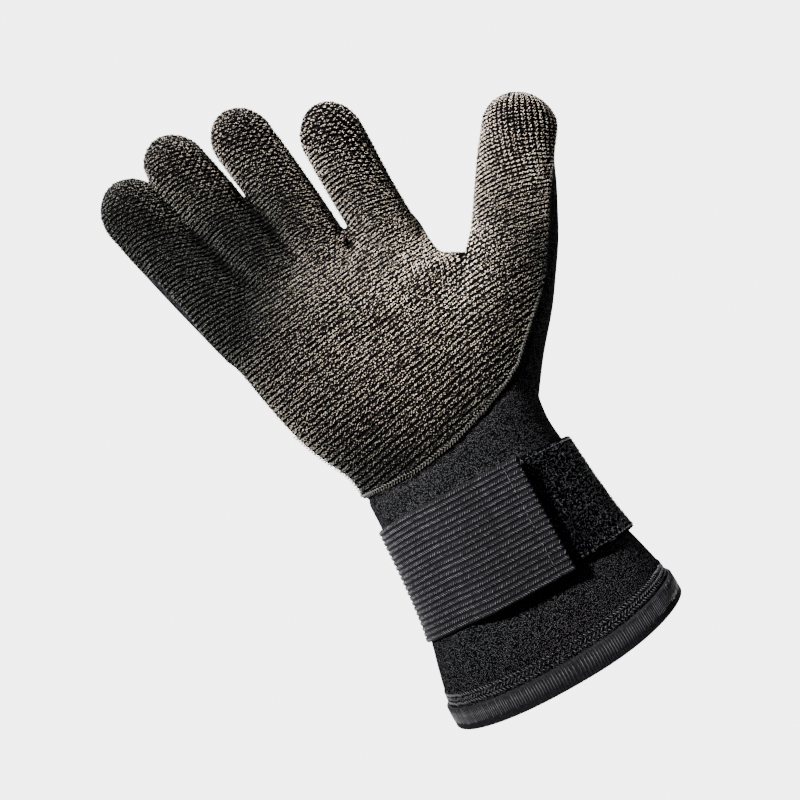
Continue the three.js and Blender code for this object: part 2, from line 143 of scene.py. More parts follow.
palm_table = np.array(  # along, spread, drift, settle, sink
    [(0.09, 0.06, -0.05, 0.03, 0.15), (0.19, 0.21, -0.03, 0.12, 0.38), (0.28, 0.51, 0.06, 0.26, 0.6),
     (0.4, 0.89, 0.13, 0.4, 0.9), (0.51, 1.13, 0.17, 0.53, 1), (0.62, 1.24, 0.25, 0.67, 1), (0.68, 1.3, 0.29, 0.73, 1),
     (0.72, 1.23, 0.38, 0.77, 1), (0.76, 0.9, 0.66, 0.83, 1), (0.84, 0.84, 0.87, 1, 1),
     (0.92, 0.91, 0.94, 1.24, 0.87), (0.98, 0.96, 1.02, 1.5, 0.6)]
)
finger_table = [  # across, along, heading, bow, length, width, curl: index, middle, ring, little
    (0.359, 0.79, 0.9, 0.004, 0.865, 1.0, 0.5),
    (0.102, 0.84, -4.5, 0.013, 1.01, 0.98, 0.16),
    (-0.08, 0.84, -11.8, 0, 1.07, 0.97, 0.26),
    (-0.33, 0.84, -12.2, -0.012, 1.0, 1.08, 0),
]
finger_girth = np.array([(0, 0.97, 1.25), (0.28, 0.97, 1.13), (0.5, 0.98, 1.03), (0.72, 1, 1)])  # along, girth, depth
thumb_table = np.array(  # along, bow, width, depth, height
    [(0, 0, 0.94, 0.94, 0.66), (0.12, -0.014, 1.2, 1.18, 0.66), (0.27, -0.013, 1.28, 1.34, 0.68),
     (0.41, 0.007, 1.26, 1.33, 0.69), (0.5, 0.022, 1.16, 1.22, 0.7), (0.58, 0.034, 1.07, 1.1, 0.71),
     (0.73, 0.029, 1.01, 0.97, 0.74), (0.82, 0.026, 0.97, 0.91, 0.78), (0.892, 0.028, 0.93, 0.88, 0.81)]
)
thumb_root, thumb_heading = np.array((0.147 * palm_width, 0.0, 0.0)), 33.3
upwards = np.array((0, 0, 1))


def blend(a, b, share):
    """A value part of the way from a to b."""
    return a + (b - a) * share


def ease(value, start, end):
    """0 before start and 1 past end, with a soft run between."""
    t = np.clip((value - start) / (end - start), 0, 1)
    return t * t * (3 - 2 * t)


def between(rows, at):
    """A table's rows at other values of its first column, on a smooth curve through its own rows."""
    x = rows[:, 0]
    slope = np.gradient(rows, x, axis=0)
    i = np.clip(np.searchsorted(x, at) - 1, 0, len(x) - 2)
    step = (x[i + 1] - x[i])[:, None]
    t = ((np.clip(at, x[0], x[-1]) - x[i])[:, None]) / step
    inside = (
        (2 * t**3 - 3 * t**2 + 1) * rows[i] + (t**3 - 2 * t**2 + t) * step * slope[i]
        + (3 * t**2 - 2 * t**3) * rows[i + 1] + (t**3 - t**2) * step * slope[i + 1]
    )
    beyond = (at - np.clip(at, x[0], x[-1]))[:, None]
    return inside + beyond * np.where(beyond < 0, slope[0], slope[-1])


def unit(ways):
    """The same ways, each of length one."""
    return ways / np.linalg.norm(ways, axis=-1, keepdims=True)


wrist_top = wrist_lift + wrist_depth
along, flare, lift = cuff_table.T
width, middle = blend(wrist_width, hem_width, flare), hem_drift * flare
cuff_rows = np.stack(
    [-along * cuff_length, middle - width / 2, middle + width / 2, blend(lie - press, wrist_lift, lift),
     blend(wrist_top, lie - press + hem_depth, flare), flare * hem_rise_thumb, flare * hem_rise_little,
     0 * along + lie], 1
)
along, spread, drift, settle, sink = palm_table.T
width = blend(wrist_width, palm_width, spread)
palm_rows = np.stack(
    [along * palm_length, palm_drift * drift - width / 2, palm_drift * drift + width / 2,
     blend(wrist_lift, -press, sink), blend(wrist_top, palm_depth, settle), 0 * along, 0 * along,
     blend(lie, 0, np.minimum(1, along / 0.4))], 1
)
arm_rows = np.vstack([cuff_rows, palm_rows])  # y, left, right, bottom, top, thumb rise, little rise, lie


def arm_point(y, angle, grow):
    """Points round the arm and palm: at y along it, at an angle from the thumb's side, grow outside its skin."""
    y, angle, grow = np.broadcast_arrays(np.asarray(y, float), angle, grow)
    shape = y.shape
    y, angle, grow = y.ravel(), angle.ravel(), grow.ravel()
    _, left, right, bottom, top, rise_thumb, rise_little, floor_at = between(arm_rows, y).T
    height = blend(bottom, top, widest)
    cosine, sine = np.cos(angle), np.sin(angle)
    c, s = (np.sign(v) * np.abs(v) ** (2 / roundness) for v in (cosine, sine))
    reach = np.where(s > 0, top - height + grow, height - bottom + grow)
    rise = np.where(cosine > 0, rise_thumb, rise_little) * cosine**2
    x = (left + right) / 2 + ((right - left) / 2 + grow) * c
    return np.stack([x, y + rise, np.maximum(height + reach * s, floor_at - grow)], 1).reshape(shape + (3,))


def tube(rings, ends):
    """A closed tube through rings of points, with a hub at each end: its points and its quads and triangles."""
    count, sides = rings.shape[:2]
    around = np.arange(sides)
    after = (around + 1) % sides
    first = (np.arange(count - 1) * sides)[:, None]
    quads = np.stack([first + around, first + after, first + after + sides, first + around + sides], -1).reshape(-1, 4)
    last = (count - 1) * sides
    caps = [(i, count * sides, (i + 1) % sides) for i in range(sides)]
    caps += [(last + i, last + (i + 1) % sides, count * sides + 1) for i in range(sides)]
    return np.vstack([rings.reshape(-1, 3), ends]), [tuple(q) for q in quads.tolist()] + caps


# the arm and palm, from inside the cuff's mouth to a blunt end hidden between the fingers' roots
arm_sides, arm_steps, arm_start, arm_full = 72, 90, -106, 0.98 * palm_length
palm_end = np.array(  # along, width, depth
    [(1.0, 0.97, 0.93), (1.02, 0.93, 0.8), (1.035, 0.885, 0.64), (1.045, 0.84, 0.45)]
)
arm_angles = np.linspace(0, 2 * np.pi, arm_sides, endpoint=False)
arm_y = np.concatenate([np.linspace(arm_start, 0.97 * palm_length, arm_steps), palm_length * palm_end[:, 0]])
arm_share, arm_deep = (np.concatenate([np.ones(arm_steps), palm_end[:, k]]) for k in (1, 2))
arm_rings = arm_point(np.minimum(arm_y, arm_full)[:, None], arm_angles[None], 0.0)
arm_rings[:, :, 1] += np.maximum(arm_y - arm_full, 0)[:, None]
hubs = arm_rings.mean(1, keepdims=True)
arm_rings = hubs + (arm_rings - hubs) * np.stack([arm_share, np.ones(len(arm_y)), arm_deep], 1)[:, None]
tubes = [tube(arm_rings, arm_rings[[0, -1]].mean(1))]


def heading_axes(heading):
    """The ways to a digit's side and along it, from its heading in degrees."""
    turn = math.radians(heading)
    return np.array((math.cos(turn), -math.sin(turn), 0)), np.array((math.sin(turn), math.cos(turn), 0))


def rounded_tube(centres, side, slopes, half_width, half_depth, apex):
    """A finger: elliptical rings on its centre line and a domed tip."""
    finger_sides, dome_rings = 44, 11
    up = np.cross(side, unit(np.stack([0 * slopes, 0 * slopes, slopes], 1) + np.cross(upwards, side)))
    angle = np.linspace(0, 2 * np.pi, finger_sides, endpoint=False)
    dome = np.radians(np.linspace(8, 84, dome_rings))
    centres = np.vstack([centres, blend(centres[-1], apex, np.sin(dome)[:, None])])
    up = np.vstack([up, np.repeat(up[-1:], dome_rings, 0)])
    half_width, half_depth = (np.concatenate([h, h[-1] * np.cos(dome)]) for h in (half_width, half_depth))
    rings = (
        centres[:, None] + side * (np.cos(angle)[None, :] * half_width[:, None])[..., None]
        + up[:, None] * (np.sin(angle)[None, :] * half_depth[:, None])[..., None]
    )
    return tube(rings, np.stack([centres[0], apex]))


def held_apart(y):
    """The ring and little fingers are held this far aside while the form is joined, so that their narrow fork stays
    open."""
    fork_gap, gap_from, gap_full = 3.2, 143, 155
    return fork_gap * ease(y, gap_from, gap_full)


digits = []  # each finger's and the thumb's heading, centre line, radius, and height of its side seam
seam_level = 0.58 * palm_depth
seam_below_curl, seam_from = 2.5, 0.24  # the seam follows a finger's curl from this share of it
dome_share, finger_rings, line_steps = 0.58, 26, 30
for across, along, heading, bow, length, width, curl in finger_table:
    side, ahead = heading_axes(heading)
    reach, rise = length * finger_length, curl * finger_depth
    root = np.array((palm_drift + across * palm_width, along * palm_length, 0.475 * palm_depth))
    bare = 1 - dome_share * width * finger_width / reach
    share = np.linspace(0, bare, finger_rings)
    girth = between(np.vstack([finger_girth, (bare, 1, 1)]), share)

    def finger_line(s):
        s = np.asarray(s, float)[..., None]
        return root + ahead * s * reach + side * 4 * bow * reach * s * (1 - s) + upwards * rise * s**2

    tubes.append(
        rounded_tube(finger_line(share), side, 2 * rise * share / reach, girth[:, 1] * width * finger_width / 2,
                     girth[:, 2] * width * finger_depth / 2, finger_line(1.0))
    )
    if len(tubes) > 3:  # the ring and little fingers
        tubes[-1][0][:, 0] -= held_apart(tubes[-1][0][:, 1])
    steps = np.linspace(0.12, 1, line_steps)
    level = seam_level + (rise - seam_below_curl) * np.clip((steps - seam_from) / (1 - seam_from), 0, 1) ** 2
    digits.append((heading, finger_line(steps), width * finger_width / 2, level))

thumb_rings, thumb_bare, thumb_tip, thumb_tip_bow, thumb_slope, thumb_seam = 34, 0.892, 0.992, 0.019, 0.05, 0.86
side, ahead = heading_axes(thumb_heading)
along, bow, width, depth, height = between(thumb_table, np.linspace(0, thumb_bare, thumb_rings)).T
centres = (
    thumb_root + ahead * along[:, None] * thumb_length + side * bow[:, None] * thumb_length
    + np.array((0, 0, palm_depth)) * height[:, None]
)
thumb_apex = (
    thumb_root + ahead * thumb_tip * thumb_length + side * thumb_tip_bow * thumb_length
    + np.array((0, 0, centres[-1, 2] + 1))
)
half_width, half_depth = width * thumb_width / 2, depth * thumb_width / 2
tubes.append(rounded_tube(centres, side, 0 * along + thumb_slope, half_width, half_depth, thumb_apex))
thumb_line, thumb_share = np.vstack([centres[8:], thumb_apex]), np.append(along[8:], 1)
level = blend(seam_level, thumb_seam * palm_depth, np.clip((thumb_share - 0.6) / 0.4, 0, 1))
digits.append((thumb_heading, thumb_line, thumb_width / 2, level))


def face_out(mesh):
    """Turns a closed mesh's faces outwards."""
    turned = bmesh.new()
    turned.from_mesh(mesh)
    bmesh.ops.recalc_face_normals(turned, faces=turned.faces)
    turned.to_mesh(mesh)
    turned.free()


form_points = np.vstack([points for points, _ in tubes])
form_faces, first = [], 0
for points, faces in tubes:
    form_faces += [tuple(i + first for i in face) for face in faces]
    first += len(points)
form_mesh = bpy.data.meshes.new("glove_form")
form_mesh.from_pydata(((form_points + in_part) / 1000).tolist(), [], form_faces)
face_out(form_mesh)
glove_form = add_object("glove_form", form_mesh)
remesh = glove_form.modifiers.new("one_skin", "REMESH")
remesh.mode = "VOXEL"
remesh.voxel_size = 0.00105
skin_mesh = bpy.data.meshes.new_from_object(glove_form.evaluated_get(bpy.context.evaluated_depsgraph_get()))
bpy.data.objects.remove(glove_form)

skin = np.empty(len(skin_mesh.vertices) * 3)
skin_mesh.vertices.foreach_get("co", skin)
skin = skin.reshape(-1, 3) * 1000 - in_part
fork_along, fork_across = (143, 148, 162, 185), (-22.5, -23.6, -27.4, -31.5)  # between the middle and ring fingers
left_of_fork = skin[:, 0] < np.interp(skin[:, 1], fork_along, fork_across)
skin[:, 0] += np.where(left_of_fork, held_apart(skin[:, 1]), 0)
skin_mesh.calc_loop_triangles()
skin_triangles = np.empty(len(skin_mesh.loop_triangles) * 3, int)
skin_mesh.loop_triangles.foreach_get("vertices", skin_triangles)
skin_triangles = skin_triangles.reshape(-1, 3)
bpy.data.meshes.remove(skin_mesh)


def edges_of(triangles):
    """A mesh's edges, each once, and how many triangles meet at each."""
    pairs = np.sort(np.vstack([triangles[:, [0, 1]], triangles[:, [1, 2]], triangles[:, [2, 0]]]), 1)
    return np.unique(pairs, axis=0, return_counts=True)


def near_mean(values, edges, count):
    """The mean of each point's neighbours, on a mesh's edges."""
    a, b = edges.T
    total = np.stack([np.bincount(a, v[b], count) + np.bincount(b, v[a], count) for v in values.T], 1)
    return total / np.maximum(np.bincount(edges.ravel(), minlength=count), 1)[:, None]


def outward(points, triangles):
    """Unit normals at a mesh's points."""
    a, b, c = (points[triangles[:, k]] for k in range(3))
    face = np.cross(b - a, c - a)
    total = np.zeros_like(points)
    for k in range(3):
        for axis in range(3):
            total[:, axis] += np.bincount(triangles[:, k], face[:, axis], len(points))
    return total / np.maximum(np.linalg.norm(total, axis=1, keepdims=True), 1e-12)


skin_edges, _ = edges_of(skin_triangles)
for share in (0.6, -0.62) * 8:  # eases the remesh's steps and rounds the forks, without shrinking
    skin = skin + share * (near_mean(skin, skin_edges, len(skin)) - skin)
if (outward(skin, skin_triangles)[:, 2] * (skin[:, 2] - palm_depth / 2)).mean() < 0:
    skin_triangles = skin_triangles[:, ::-1]

# ---- The side seam: the knit palm panel is sewn to the plain neoprene all round, along
# the fingers' sides, the little finger's edge, the wrist crease and the thumb.
wrist_seam = np.array(  # across, along
    [(-0.9, 0.066), (-0.4, 0.076), (-0.17, 0.068), (0.01, 0.09), (0.2, 0.145), (0.3, 0.18), (0.39, 0.227), (0.46, 0.29),
     (0.52, 0.344), (0.63, 0.438), (0.705, 0.53), (0.77, 0.623), (0.83, 0.717), (0.9, 0.81), (1.02, 0.96)]
) * (palm_width, palm_length)
little_seam = np.array(  # along, across
    [(0.86, -0.76), (0.9, -0.69), (0.98, -0.645), (1.07, -0.652), (1.17, -0.672), (1.25, -0.692), (1.32, -0.79)]
) * (palm_length, palm_width)


def distance_to_line(points, line):
    """Each point's distance from a polyline, and how far along the line it lies, in steps."""
    best, at = np.full(len(points), 1e9), np.zeros(len(points))
    for i in range(len(line) - 1):
        leg = line[i + 1] - line[i]
        t = np.clip((points - line[i]) @ leg / (leg @ leg), 0, 1)
        far = np.linalg.norm(points - line[i] - t[:, None] * leg, axis=1)
        nearer = far < best
        best[nearer], at[nearer] = far[nearer], (i + t)[nearer]
    return best, at


def soft_least(values, radius):
    """The least of several distances, with the corner between them rounded."""
    values = np.stack(values)
    lowest = values.min(0)
    return lowest - radius * np.log(np.exp(-(values - lowest) / radius).sum(0))


def owner_of(points):
    """How strongly each digit, or the palm (last), holds each point: shares that add up to 1."""
    held = []
    for heading, line, radius, _ in digits:
        far, at = distance_to_line(points, line)
        root = np.clip(at / (12 if heading == thumb_heading else 9), 0, 1)
        held.append(root**1.5 / (0.15 + (far / radius) ** 6))
    held.append(1.1 * (1 - ease(points[:, 1], 0.86 * palm_length, 1.12 * palm_length)) + 1e-3)
    held = np.stack(held, 1)
    return held / held.sum(1, keepdims=True)


def seam_distance(points):
    """How far inside the palm panel a point of the skin is."""
    fork_dip, edge_limit, corner = 28, 30, 1.2
    weight, level = np.zeros(len(points)), np.zeros(len(points))
    for _, line, radius, height in digits:
        far, at = distance_to_line(points[:, :2], line[:, :2])
        w = 1 / (0.02 + (far / radius) ** 4)
        w = np.where(far > 1.6 * radius, 0, w)
        level += w * np.interp(at, np.arange(len(height)), height)
        weight += w
    level = np.where(weight > 0, level / np.maximum(weight, 1e-9), seam_level)
    share = np.sort(owner_of(points)[:, :4], 1)
    level -= fork_dip * share[:, -1] * share[:, -2]  # the seam dips out of sight in the forks
    above = points[:, 2] - level
    slope = np.gradient(wrist_seam[:, 1], wrist_seam[:, 0])
    seam_y, seam_slope = (np.interp(points[:, 0], wrist_seam[:, 0], v) for v in (wrist_seam[:, 1], slope))
    past_wrist = (points[:, 1] - seam_y) / np.sqrt(1 + seam_slope**2)
    edge_x = np.interp(points[:, 1], little_seam[:, 0], little_seam[:, 1], -1e3, -1e3)
    return soft_least([above, past_wrist, np.minimum(points[:, 0] - edge_x, edge_limit)], corner)


# between the fingers the palm is drawn down into valleys, deepest at each fork, each with a narrow crease in it
valleys = [  # depth at the fork, half width, then the line: middle and ring, ring and little, index and middle
    (6.5, 3.6, np.array([(-23.0, 148.0), (-20.0, 131.0), (-18.5, 118.5), (-17.0, 105.0)])),
    (6.0, 3.8, np.array([(-49.0, 141.0), (-43.5, 121.0), (-38.0, 107.5), (-33.0, 98.0)])),
    (4.0, 3.2, np.array([(7.0, 107.0), (5.5, 101.0), (1.0, 95.0)])),
]
crease_half = 1.6
for deep, half, line in valleys:
    far, at = distance_to_line(skin[:, :2], line)
    sunk = deep * np.exp(-((far / half) ** 2)) + 0.5 * deep * np.exp(-((far / crease_half) ** 2))
    sunk = sunk * np.clip(1.15 - at / (len(line) - 1), 0, 1) * np.clip(0.35 + 2 * at, 0, 1)
    skin[:, 2] -= sunk * ease(skin[:, 2], 0.6 * palm_depth, 0.8 * palm_depth)


def web_share(centre, reach, start, end):
    """How much of the web is moved at each point: most at a centre along the hand, from start to end across it."""
    along_it = np.exp(-(((skin[:, 1] - centre) / reach) ** 2))
    return along_it * ease(skin[:, 0], *start) * (1 - ease(skin[:, 0], *end))


# the web between thumb and index finger is fuller than the two tubes leave it, on both its sides, and its edge slants
skin[:, 0] += 1.0 * web_share(97, 16, (24, 35), (39, 44)) * ease(skin[:, 1], 76, 92)
skin[:, 0] -= 1.5 * web_share(84, 12, (42, 48), (52, 72))
skin[:, 1] += 0.8 * web_share(79, 7, (33, 38), (49, 56)) * np.clip((skin[:, 0] - 43) / 8, -1, 1)
# the seam draws the body in just outside the panel's edge and makes a low ridge inside it
panel_inside = seam_distance(skin)
ridge_height, ridge_inside, ridge_half = 0.45, 1.8, 1.4
groove_depth, groove_outside, groove_half = 0.9, 1.3, 1.3
ridge = ridge_height * np.exp(-(((panel_inside - ridge_inside) / ridge_half) ** 2))
groove = groove_depth * np.exp(-(((panel_inside + groove_outside) / groove_half) ** 2))
skin = skin + (ridge - groove)[:, None] * outward(skin, skin_triangles)


def clip(points, triangles, field, carried):
    """The part of a mesh where the field is above zero, cut exactly on it. Carries other columns to the new points."""
    on_line = 0.12
    field = np.where(np.abs(field) < on_line, 0.0, field)
    sign = np.sign(field)[triangles]
    whole = triangles[(sign >= 0).all(1) & (sign > 0).any(1)]
    crossing = triangles[(sign > 0).any(1) & (sign < 0).any(1)]
    new_points, new_carried, made, faces = [], [], {}, []
    for triangle in crossing.tolist():
        polygon = []
        for i in range(3):
            a, b = triangle[i], triangle[(i + 1) % 3]
            if field[a] >= 0:
                polygon.append(a)
            if field[a] * field[b] < 0:
                key = (min(a, b), max(a, b))
                if key not in made:
                    t = field[key[0]] / (field[key[0]] - field[key[1]])
                    made[key] = len(points) + len(new_points)
                    new_points.append(blend(points[key[0]], points[key[1]], t))
                    new_carried.append(blend(carried[key[0]], carried[key[1]], t))
                polygon.append(made[key])
        faces += [(polygon[0], polygon[i], polygon[i + 1]) for i in range(1, len(polygon) - 1)]
    if new_points:
        points, carried = np.vstack([points, new_points]), np.vstack([carried, new_carried])
    triangles = np.vstack([whole, np.array(faces, int).reshape(-1, 3)])
    used, triangles = np.unique(triangles, return_inverse=True)
    return points[used], triangles.reshape(-1, 3), carried[used]


def mesh_object(name, points, faces, material):
    """A smooth mesh object at the origin, its points in mm from the pattern's origin. It rests on the table, not in
    it."""
    mesh = bpy.data.meshes.new(name)
    placed = np.maximum(points + in_part, (-1e3, -1e3, 0)) / 1000
    mesh.from_pydata(placed.tolist(), [], [tuple(f) for f in np.asarray(faces).tolist()])
    mesh.polygons.foreach_set("use_smooth", [True] * len(mesh.polygons))
    mesh.materials.append(material)
    return add_object(name, mesh)


def finished(piece):
    """Applies a piece's modifiers and gives it back as a plain mesh."""
    plain = bpy.data.meshes.new_from_object(piece.evaluated_get(bpy.context.evaluated_depsgraph_get()))
    piece.modifiers.clear()
    piece.data = plain
    return piece


def give_wall(piece, thickness, kept):
    """Gives an open skin its cloth's thickness, inwards, with closed edges. kept is the share of its triangles left."""
    piece.modifiers.new("thinned", "DECIMATE").ratio = kept
    wall = piece.modifiers.new("wall", "SOLIDIFY")
    wall.thickness, wall.offset, wall.use_rim = thickness / 1000, -1, True
    return finished(piece)


# ---- The glove's body: foam neoprene 3 mm thick, faced with a fine plain jersey. It is
# the whole back, the cuff and the thumb's outer side, cut and sewn to the palm panel.
cloth_wall, seam_gap = 3.0, 0.15
# warp jersey on neoprene: a matt black, its tiny stitch heads painted pale as painted highlight and its pits painted
# dark as painted shade. Its real stitches, 0.2 mm apart, are too fine to show, so they are drawn 0.4 mm apart.
jersey_stitch = 0.4
neoprene, tree, shader = new_material("jersey_faced_neoprene", 0.85, 0.0)
place = add_node(tree, "ShaderNodeTexCoord").outputs["Object"]
stitches = add_node(tree, "ShaderNodeTexVoronoi", {"feature": "F1"}, Vector=place, Scale=1000 / jersey_stitch)
# painted highlight on the stitch heads and painted shade in the pits: the tone follows the bump's depth
lit_heads_shaded_pits = {"stops": ((0.1, "#4a494c"), (0.36, "#020202"))}
tone = add_node(tree, "ShaderNodeValToRGB", lit_heads_shaded_pits, Fac=stitches.outputs["Distance"])
tree.links.new(tone.outputs["Color"], shader.inputs["Base Color"])
pits = stitches.outputs["Distance"]
bumps = add_node(tree, "ShaderNodeBump", {"invert": True}, Strength=0.5, Distance=0.0003, Height=pits)
tree.links.new(bumps.outputs["Normal"], shader.inputs["Normal"])

hem_rise = np.where(skin[:, 0] > 0, hem_rise_thumb, hem_rise_little)
hem_line = -cuff_length + hem_rise * np.clip((skin[:, 0] - hem_drift) / (hem_width / 2), -1, 1) ** 2
glove_points, glove_triangles, inside = clip(skin, skin_triangles, skin[:, 1] - hem_line, panel_inside[:, None])
body_points, body_triangles, _ = clip(glove_points, glove_triangles, -inside[:, 0] - seam_gap, inside)
neoprene_shell = give_wall(mesh_object("neoprene_shell", body_points, body_triangles, neoprene), cloth_wall, 0.55)
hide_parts("neoprene_body")
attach(neoprene_shell, "root")

# ---- The palm panel: neoprene faced with a coarse ribbed knit in a grip yarn, one piece
# over the palm and the front of every digit. Its rows run across the hand and fan out
# into the fingers and the thumb, closer together where the knit is less stretched.
palm_points, palm_triangles, _ = clip(glove_points, glove_triangles, inside[:, 0] - seam_gap, inside)
palm_normals = outward(palm_points, palm_triangles)
palm_edges, triangles_at = edges_of(palm_triangles)
held = owner_of(palm_points)
held_by_thumb = held[:, 4]
palm_heading, finger_heading, finger_fan, thumb_fan = -10.0, 20, 28, 16
headings = [np.full(len(held), palm_heading)]
for heading, line, radius, _ in digits[::-1]:  # the rows sag at a digit's sides, so their way fans out there
    middle = np.stack([np.interp(palm_points[:, 1], line[:, 1], line[:, k]) for k in (0, 1)], 1)
    off = np.clip((palm_points[:, 0] - middle[:, 0]) * math.cos(math.radians(heading)) / radius, -1, 1)
    on_thumb = heading == thumb_heading
    headings.insert(0, heading + thumb_fan * off if on_thumb else heading + finger_heading + finger_fan * off)
headings = np.radians(np.stack(headings, 1))
hand_way = np.stack([(held * np.sin(headings)).sum(1), (held * np.cos(headings)).sum(1), 0 * held_by_thumb], 1)
for _ in range(30):
    hand_way = 0.5 * hand_way + 0.5 * near_mean(hand_way, palm_edges, len(palm_points))
hand_way -= (hand_way * palm_normals).sum(1, keepdims=True) * palm_normals
hand_way = unit(hand_way)
across_way = np.cross(hand_way, palm_normals)
# the real stitches are about 1.2 mm across, too fine to show, so they are drawn about twice as coarse
wide_stitch, thumb_stitch, thumb_row = 2.52, 1.85, 1.6
row_pitch = blend(np.interp(palm_points[:, 1], (10, 45, 75, 95), (2.9, 2.45, 2.1, 1.85)), thumb_row, held_by_thumb)
column_pitch = blend(wide_stitch, thumb_stitch, held_by_thumb)


def laid_flat(way, pitch, start):
    """A count of rows or columns over the panel, whose slope is nearest to one step each pitch along a way: least
    squares over the mesh's edges, by conjugate gradients."""
    a, b = palm_edges.T
    step = ((palm_points[b] - palm_points[a]) * (way[a] / pitch[a, None] + way[b] / pitch[b, None]) / 2).sum(1)
    n = len(palm_points)
    degree = np.bincount(palm_edges.ravel(), minlength=n)
    pull = np.bincount(b, step, n) - np.bincount(a, step, n)
    spread_of = lambda x: degree * x - np.bincount(a, x[b], n) - np.bincount(b, x[a], n)
    x = start.copy()
    left = pull - spread_of(x)
    z = left / degree
    p, rz = z.copy(), left @ z
    for _ in range(700):
        q = spread_of(p)
        move = rz / (p @ q)
        x, left = x + move * p, left - move * q
        z = left / degree
        rz, before = left @ z, rz
        if rz < 1e-7:
            break
        p = z + rz / before * p
    return x


rows_at = laid_flat(hand_way, row_pitch, palm_points[:, 1] / row_pitch)
columns_at = laid_flat(across_way, column_pitch, palm_points[:, 0] / column_pitch)

# the knit's sunk ground: black yarn in the shade between the loops, ribbed along each row, its fuzz 0.7 mm coarse. Its
# near-black tone is painted shade, darkest in the rib grooves and the fuzz's hollows
ground_fuzz = 0.714
grip_knit, tree, shader = new_material("ribbed_grip_knit", 0.85, 0.0)
place = add_node(tree, "ShaderNodeTexCoord").outputs["Object"]
loops = add_node(tree, "ShaderNodeUVMap", {"uv_map": "knit"}).outputs["UV"]
row = add_node(tree, "ShaderNodeSeparateXYZ", None, Vector=loops).outputs["Y"]
turn = add_node(tree, "ShaderNodeMath", {"operation": "MULTIPLY"}, input_0=row, input_1=math.tau).outputs[0]
rib = add_node(tree, "ShaderNodeMath", {"operation": "COSINE"}, input_0=turn).outputs[0]
yarn = add_node(tree, "ShaderNodeTexNoise", None, Vector=place, Scale=1000 / ground_fuzz, Detail=2.0, Roughness=0.7)
fuzz = yarn.outputs["Fac"]
height = add_node(tree, "ShaderNodeMath", {"operation": "MULTIPLY_ADD"}, input_0=fuzz, input_1=1.6, input_2=rib)
height = height.outputs[0]
shade_by_height = add_node(tree, "ShaderNodeMapRange", None, Value=height, From_Min=-0.4, From_Max=1.9).outputs[0]
# painted shade: the lower the rib or the fuzz, the darker the ground
tone = add_node(tree, "ShaderNodeValToRGB", {"stops": ((0.0, "#010101"), (1.0, "#070606"))}, Fac=shade_by_height)
tree.links.new(tone.outputs["Color"], shader.inputs["Base Color"])
bumps = add_node(tree, "ShaderNodeBump", None, Strength=0.8, Distance=0.0005, Height=height)
tree.links.new(bumps.outputs["Normal"], shader.inputs["Normal"])

palm_knit = mesh_object("palm_knit", palm_points, palm_triangles, grip_knit)
laid = palm_knit.data.uv_layers.new(name="knit")
corners = palm_triangles.ravel()
laid.data.foreach_set("uv", np.stack([columns_at[corners], rows_at[corners]], 1).ravel().astype(np.float32))
give_wall(palm_knit, cloth_wall, 0.6)
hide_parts("palm_panel")
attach(palm_knit, "root")

# ---- The knit's grip loops: the proud turns of the knit's face, of a lighter, slightly
# rubbery yarn. Each stitch shows six turns: in a row on the palm and the fingers, where
# every second row is set half a stitch over, and in an upright V on the thumb.
corner_u, corner_v = columns_at[palm_triangles], rows_at[palm_triangles]
first_row, first_column = np.ceil(corner_v.min(1)), np.floor(corner_u.min(1))
stagger = np.where(held_by_thumb[palm_triangles[:, 0]] > 0.5, 0.0, 0.5)
found = []
for down in range(3):
    for over in range(4):
        v = first_row + down
        u = first_column + over + stagger * (v % 2)
        (u0, u1, u2), (v0, v1, v2) = corner_u.T, corner_v.T
        area = (u1 - u0) * (v2 - v0) - (u2 - u0) * (v1 - v0)
        area = np.where(np.abs(area) < 1e-9, 1e-9, area)
        w1 = ((u - u0) * (v2 - v0) - (u2 - u0) * (v - v0)) / area
        w2 = ((u1 - u0) * (v - v0) - (u - u0) * (v1 - v0)) / area
        weights = np.stack([1 - w1 - w2, w1, w2], 1)
        inside = (weights >= 0).all(1)
        found.append((palm_triangles[inside], weights[inside]))
chance = np.random.default_rng(11)


def joined(rows):
    """Rows of arrays as one long array for each column."""
    return (np.concatenate(column) for column in zip(*rows))


loop_corners, loop_weights = joined(found)


def on_panel(values):
    """The panel's values at its stitches."""
    shares = loop_weights if values.ndim == 1 else loop_weights[..., None]
    return (values[loop_corners] * shares).sum(1)


stitch_points, stitch_up = on_panel(palm_points), on_panel(palm_normals)
row_way, hand = on_panel(across_way), on_panel(hand_way)
slant = 0.5 * (1 - ease(stitch_points[:, 1], 20, 80)) + 0.25
step, fineness = on_panel(row_pitch), column_pitch / wide_stitch
valley_shade = np.zeros(len(palm_points))  # in the valleys the loops are drawn smaller, so more of the black ground shows there as painted shade
for _, half, line in valleys:
    far, at = distance_to_line(palm_points[:, :2], line)
    in_valley = np.exp(-((far / (0.7 * half)) ** 2)) * np.clip(1.2 - at / (len(line) - 1), 0, 1)
    valley_shade = np.maximum(valley_shade, in_valley)
bulk = on_panel(fineness * (1 - 0.5 * valley_shade))
in_wale = 0.55 * ease(on_panel(held_by_thumb), 0.3, 0.8)
loop_turns = [  # each turn's place over and forward in a row, its size, and its place and lean in a wale's V
    (-1.0, -0.18, 0.95, -0.5, 0.38, -0.4), (-0.6, 0.17, 1.05, -0.36, 0.0, -0.4), (-0.2, -0.14, 1.05, -0.2, -0.38, -0.4),
    (0.2, 0.2, 1.1, 0.2, -0.38, 0.4), (0.6, -0.16, 1.0, 0.36, 0.0, 0.4), (1.0, 0.12, 0.95, 0.5, 0.38, 0.4),
]
grains, count = [], len(stitch_points)
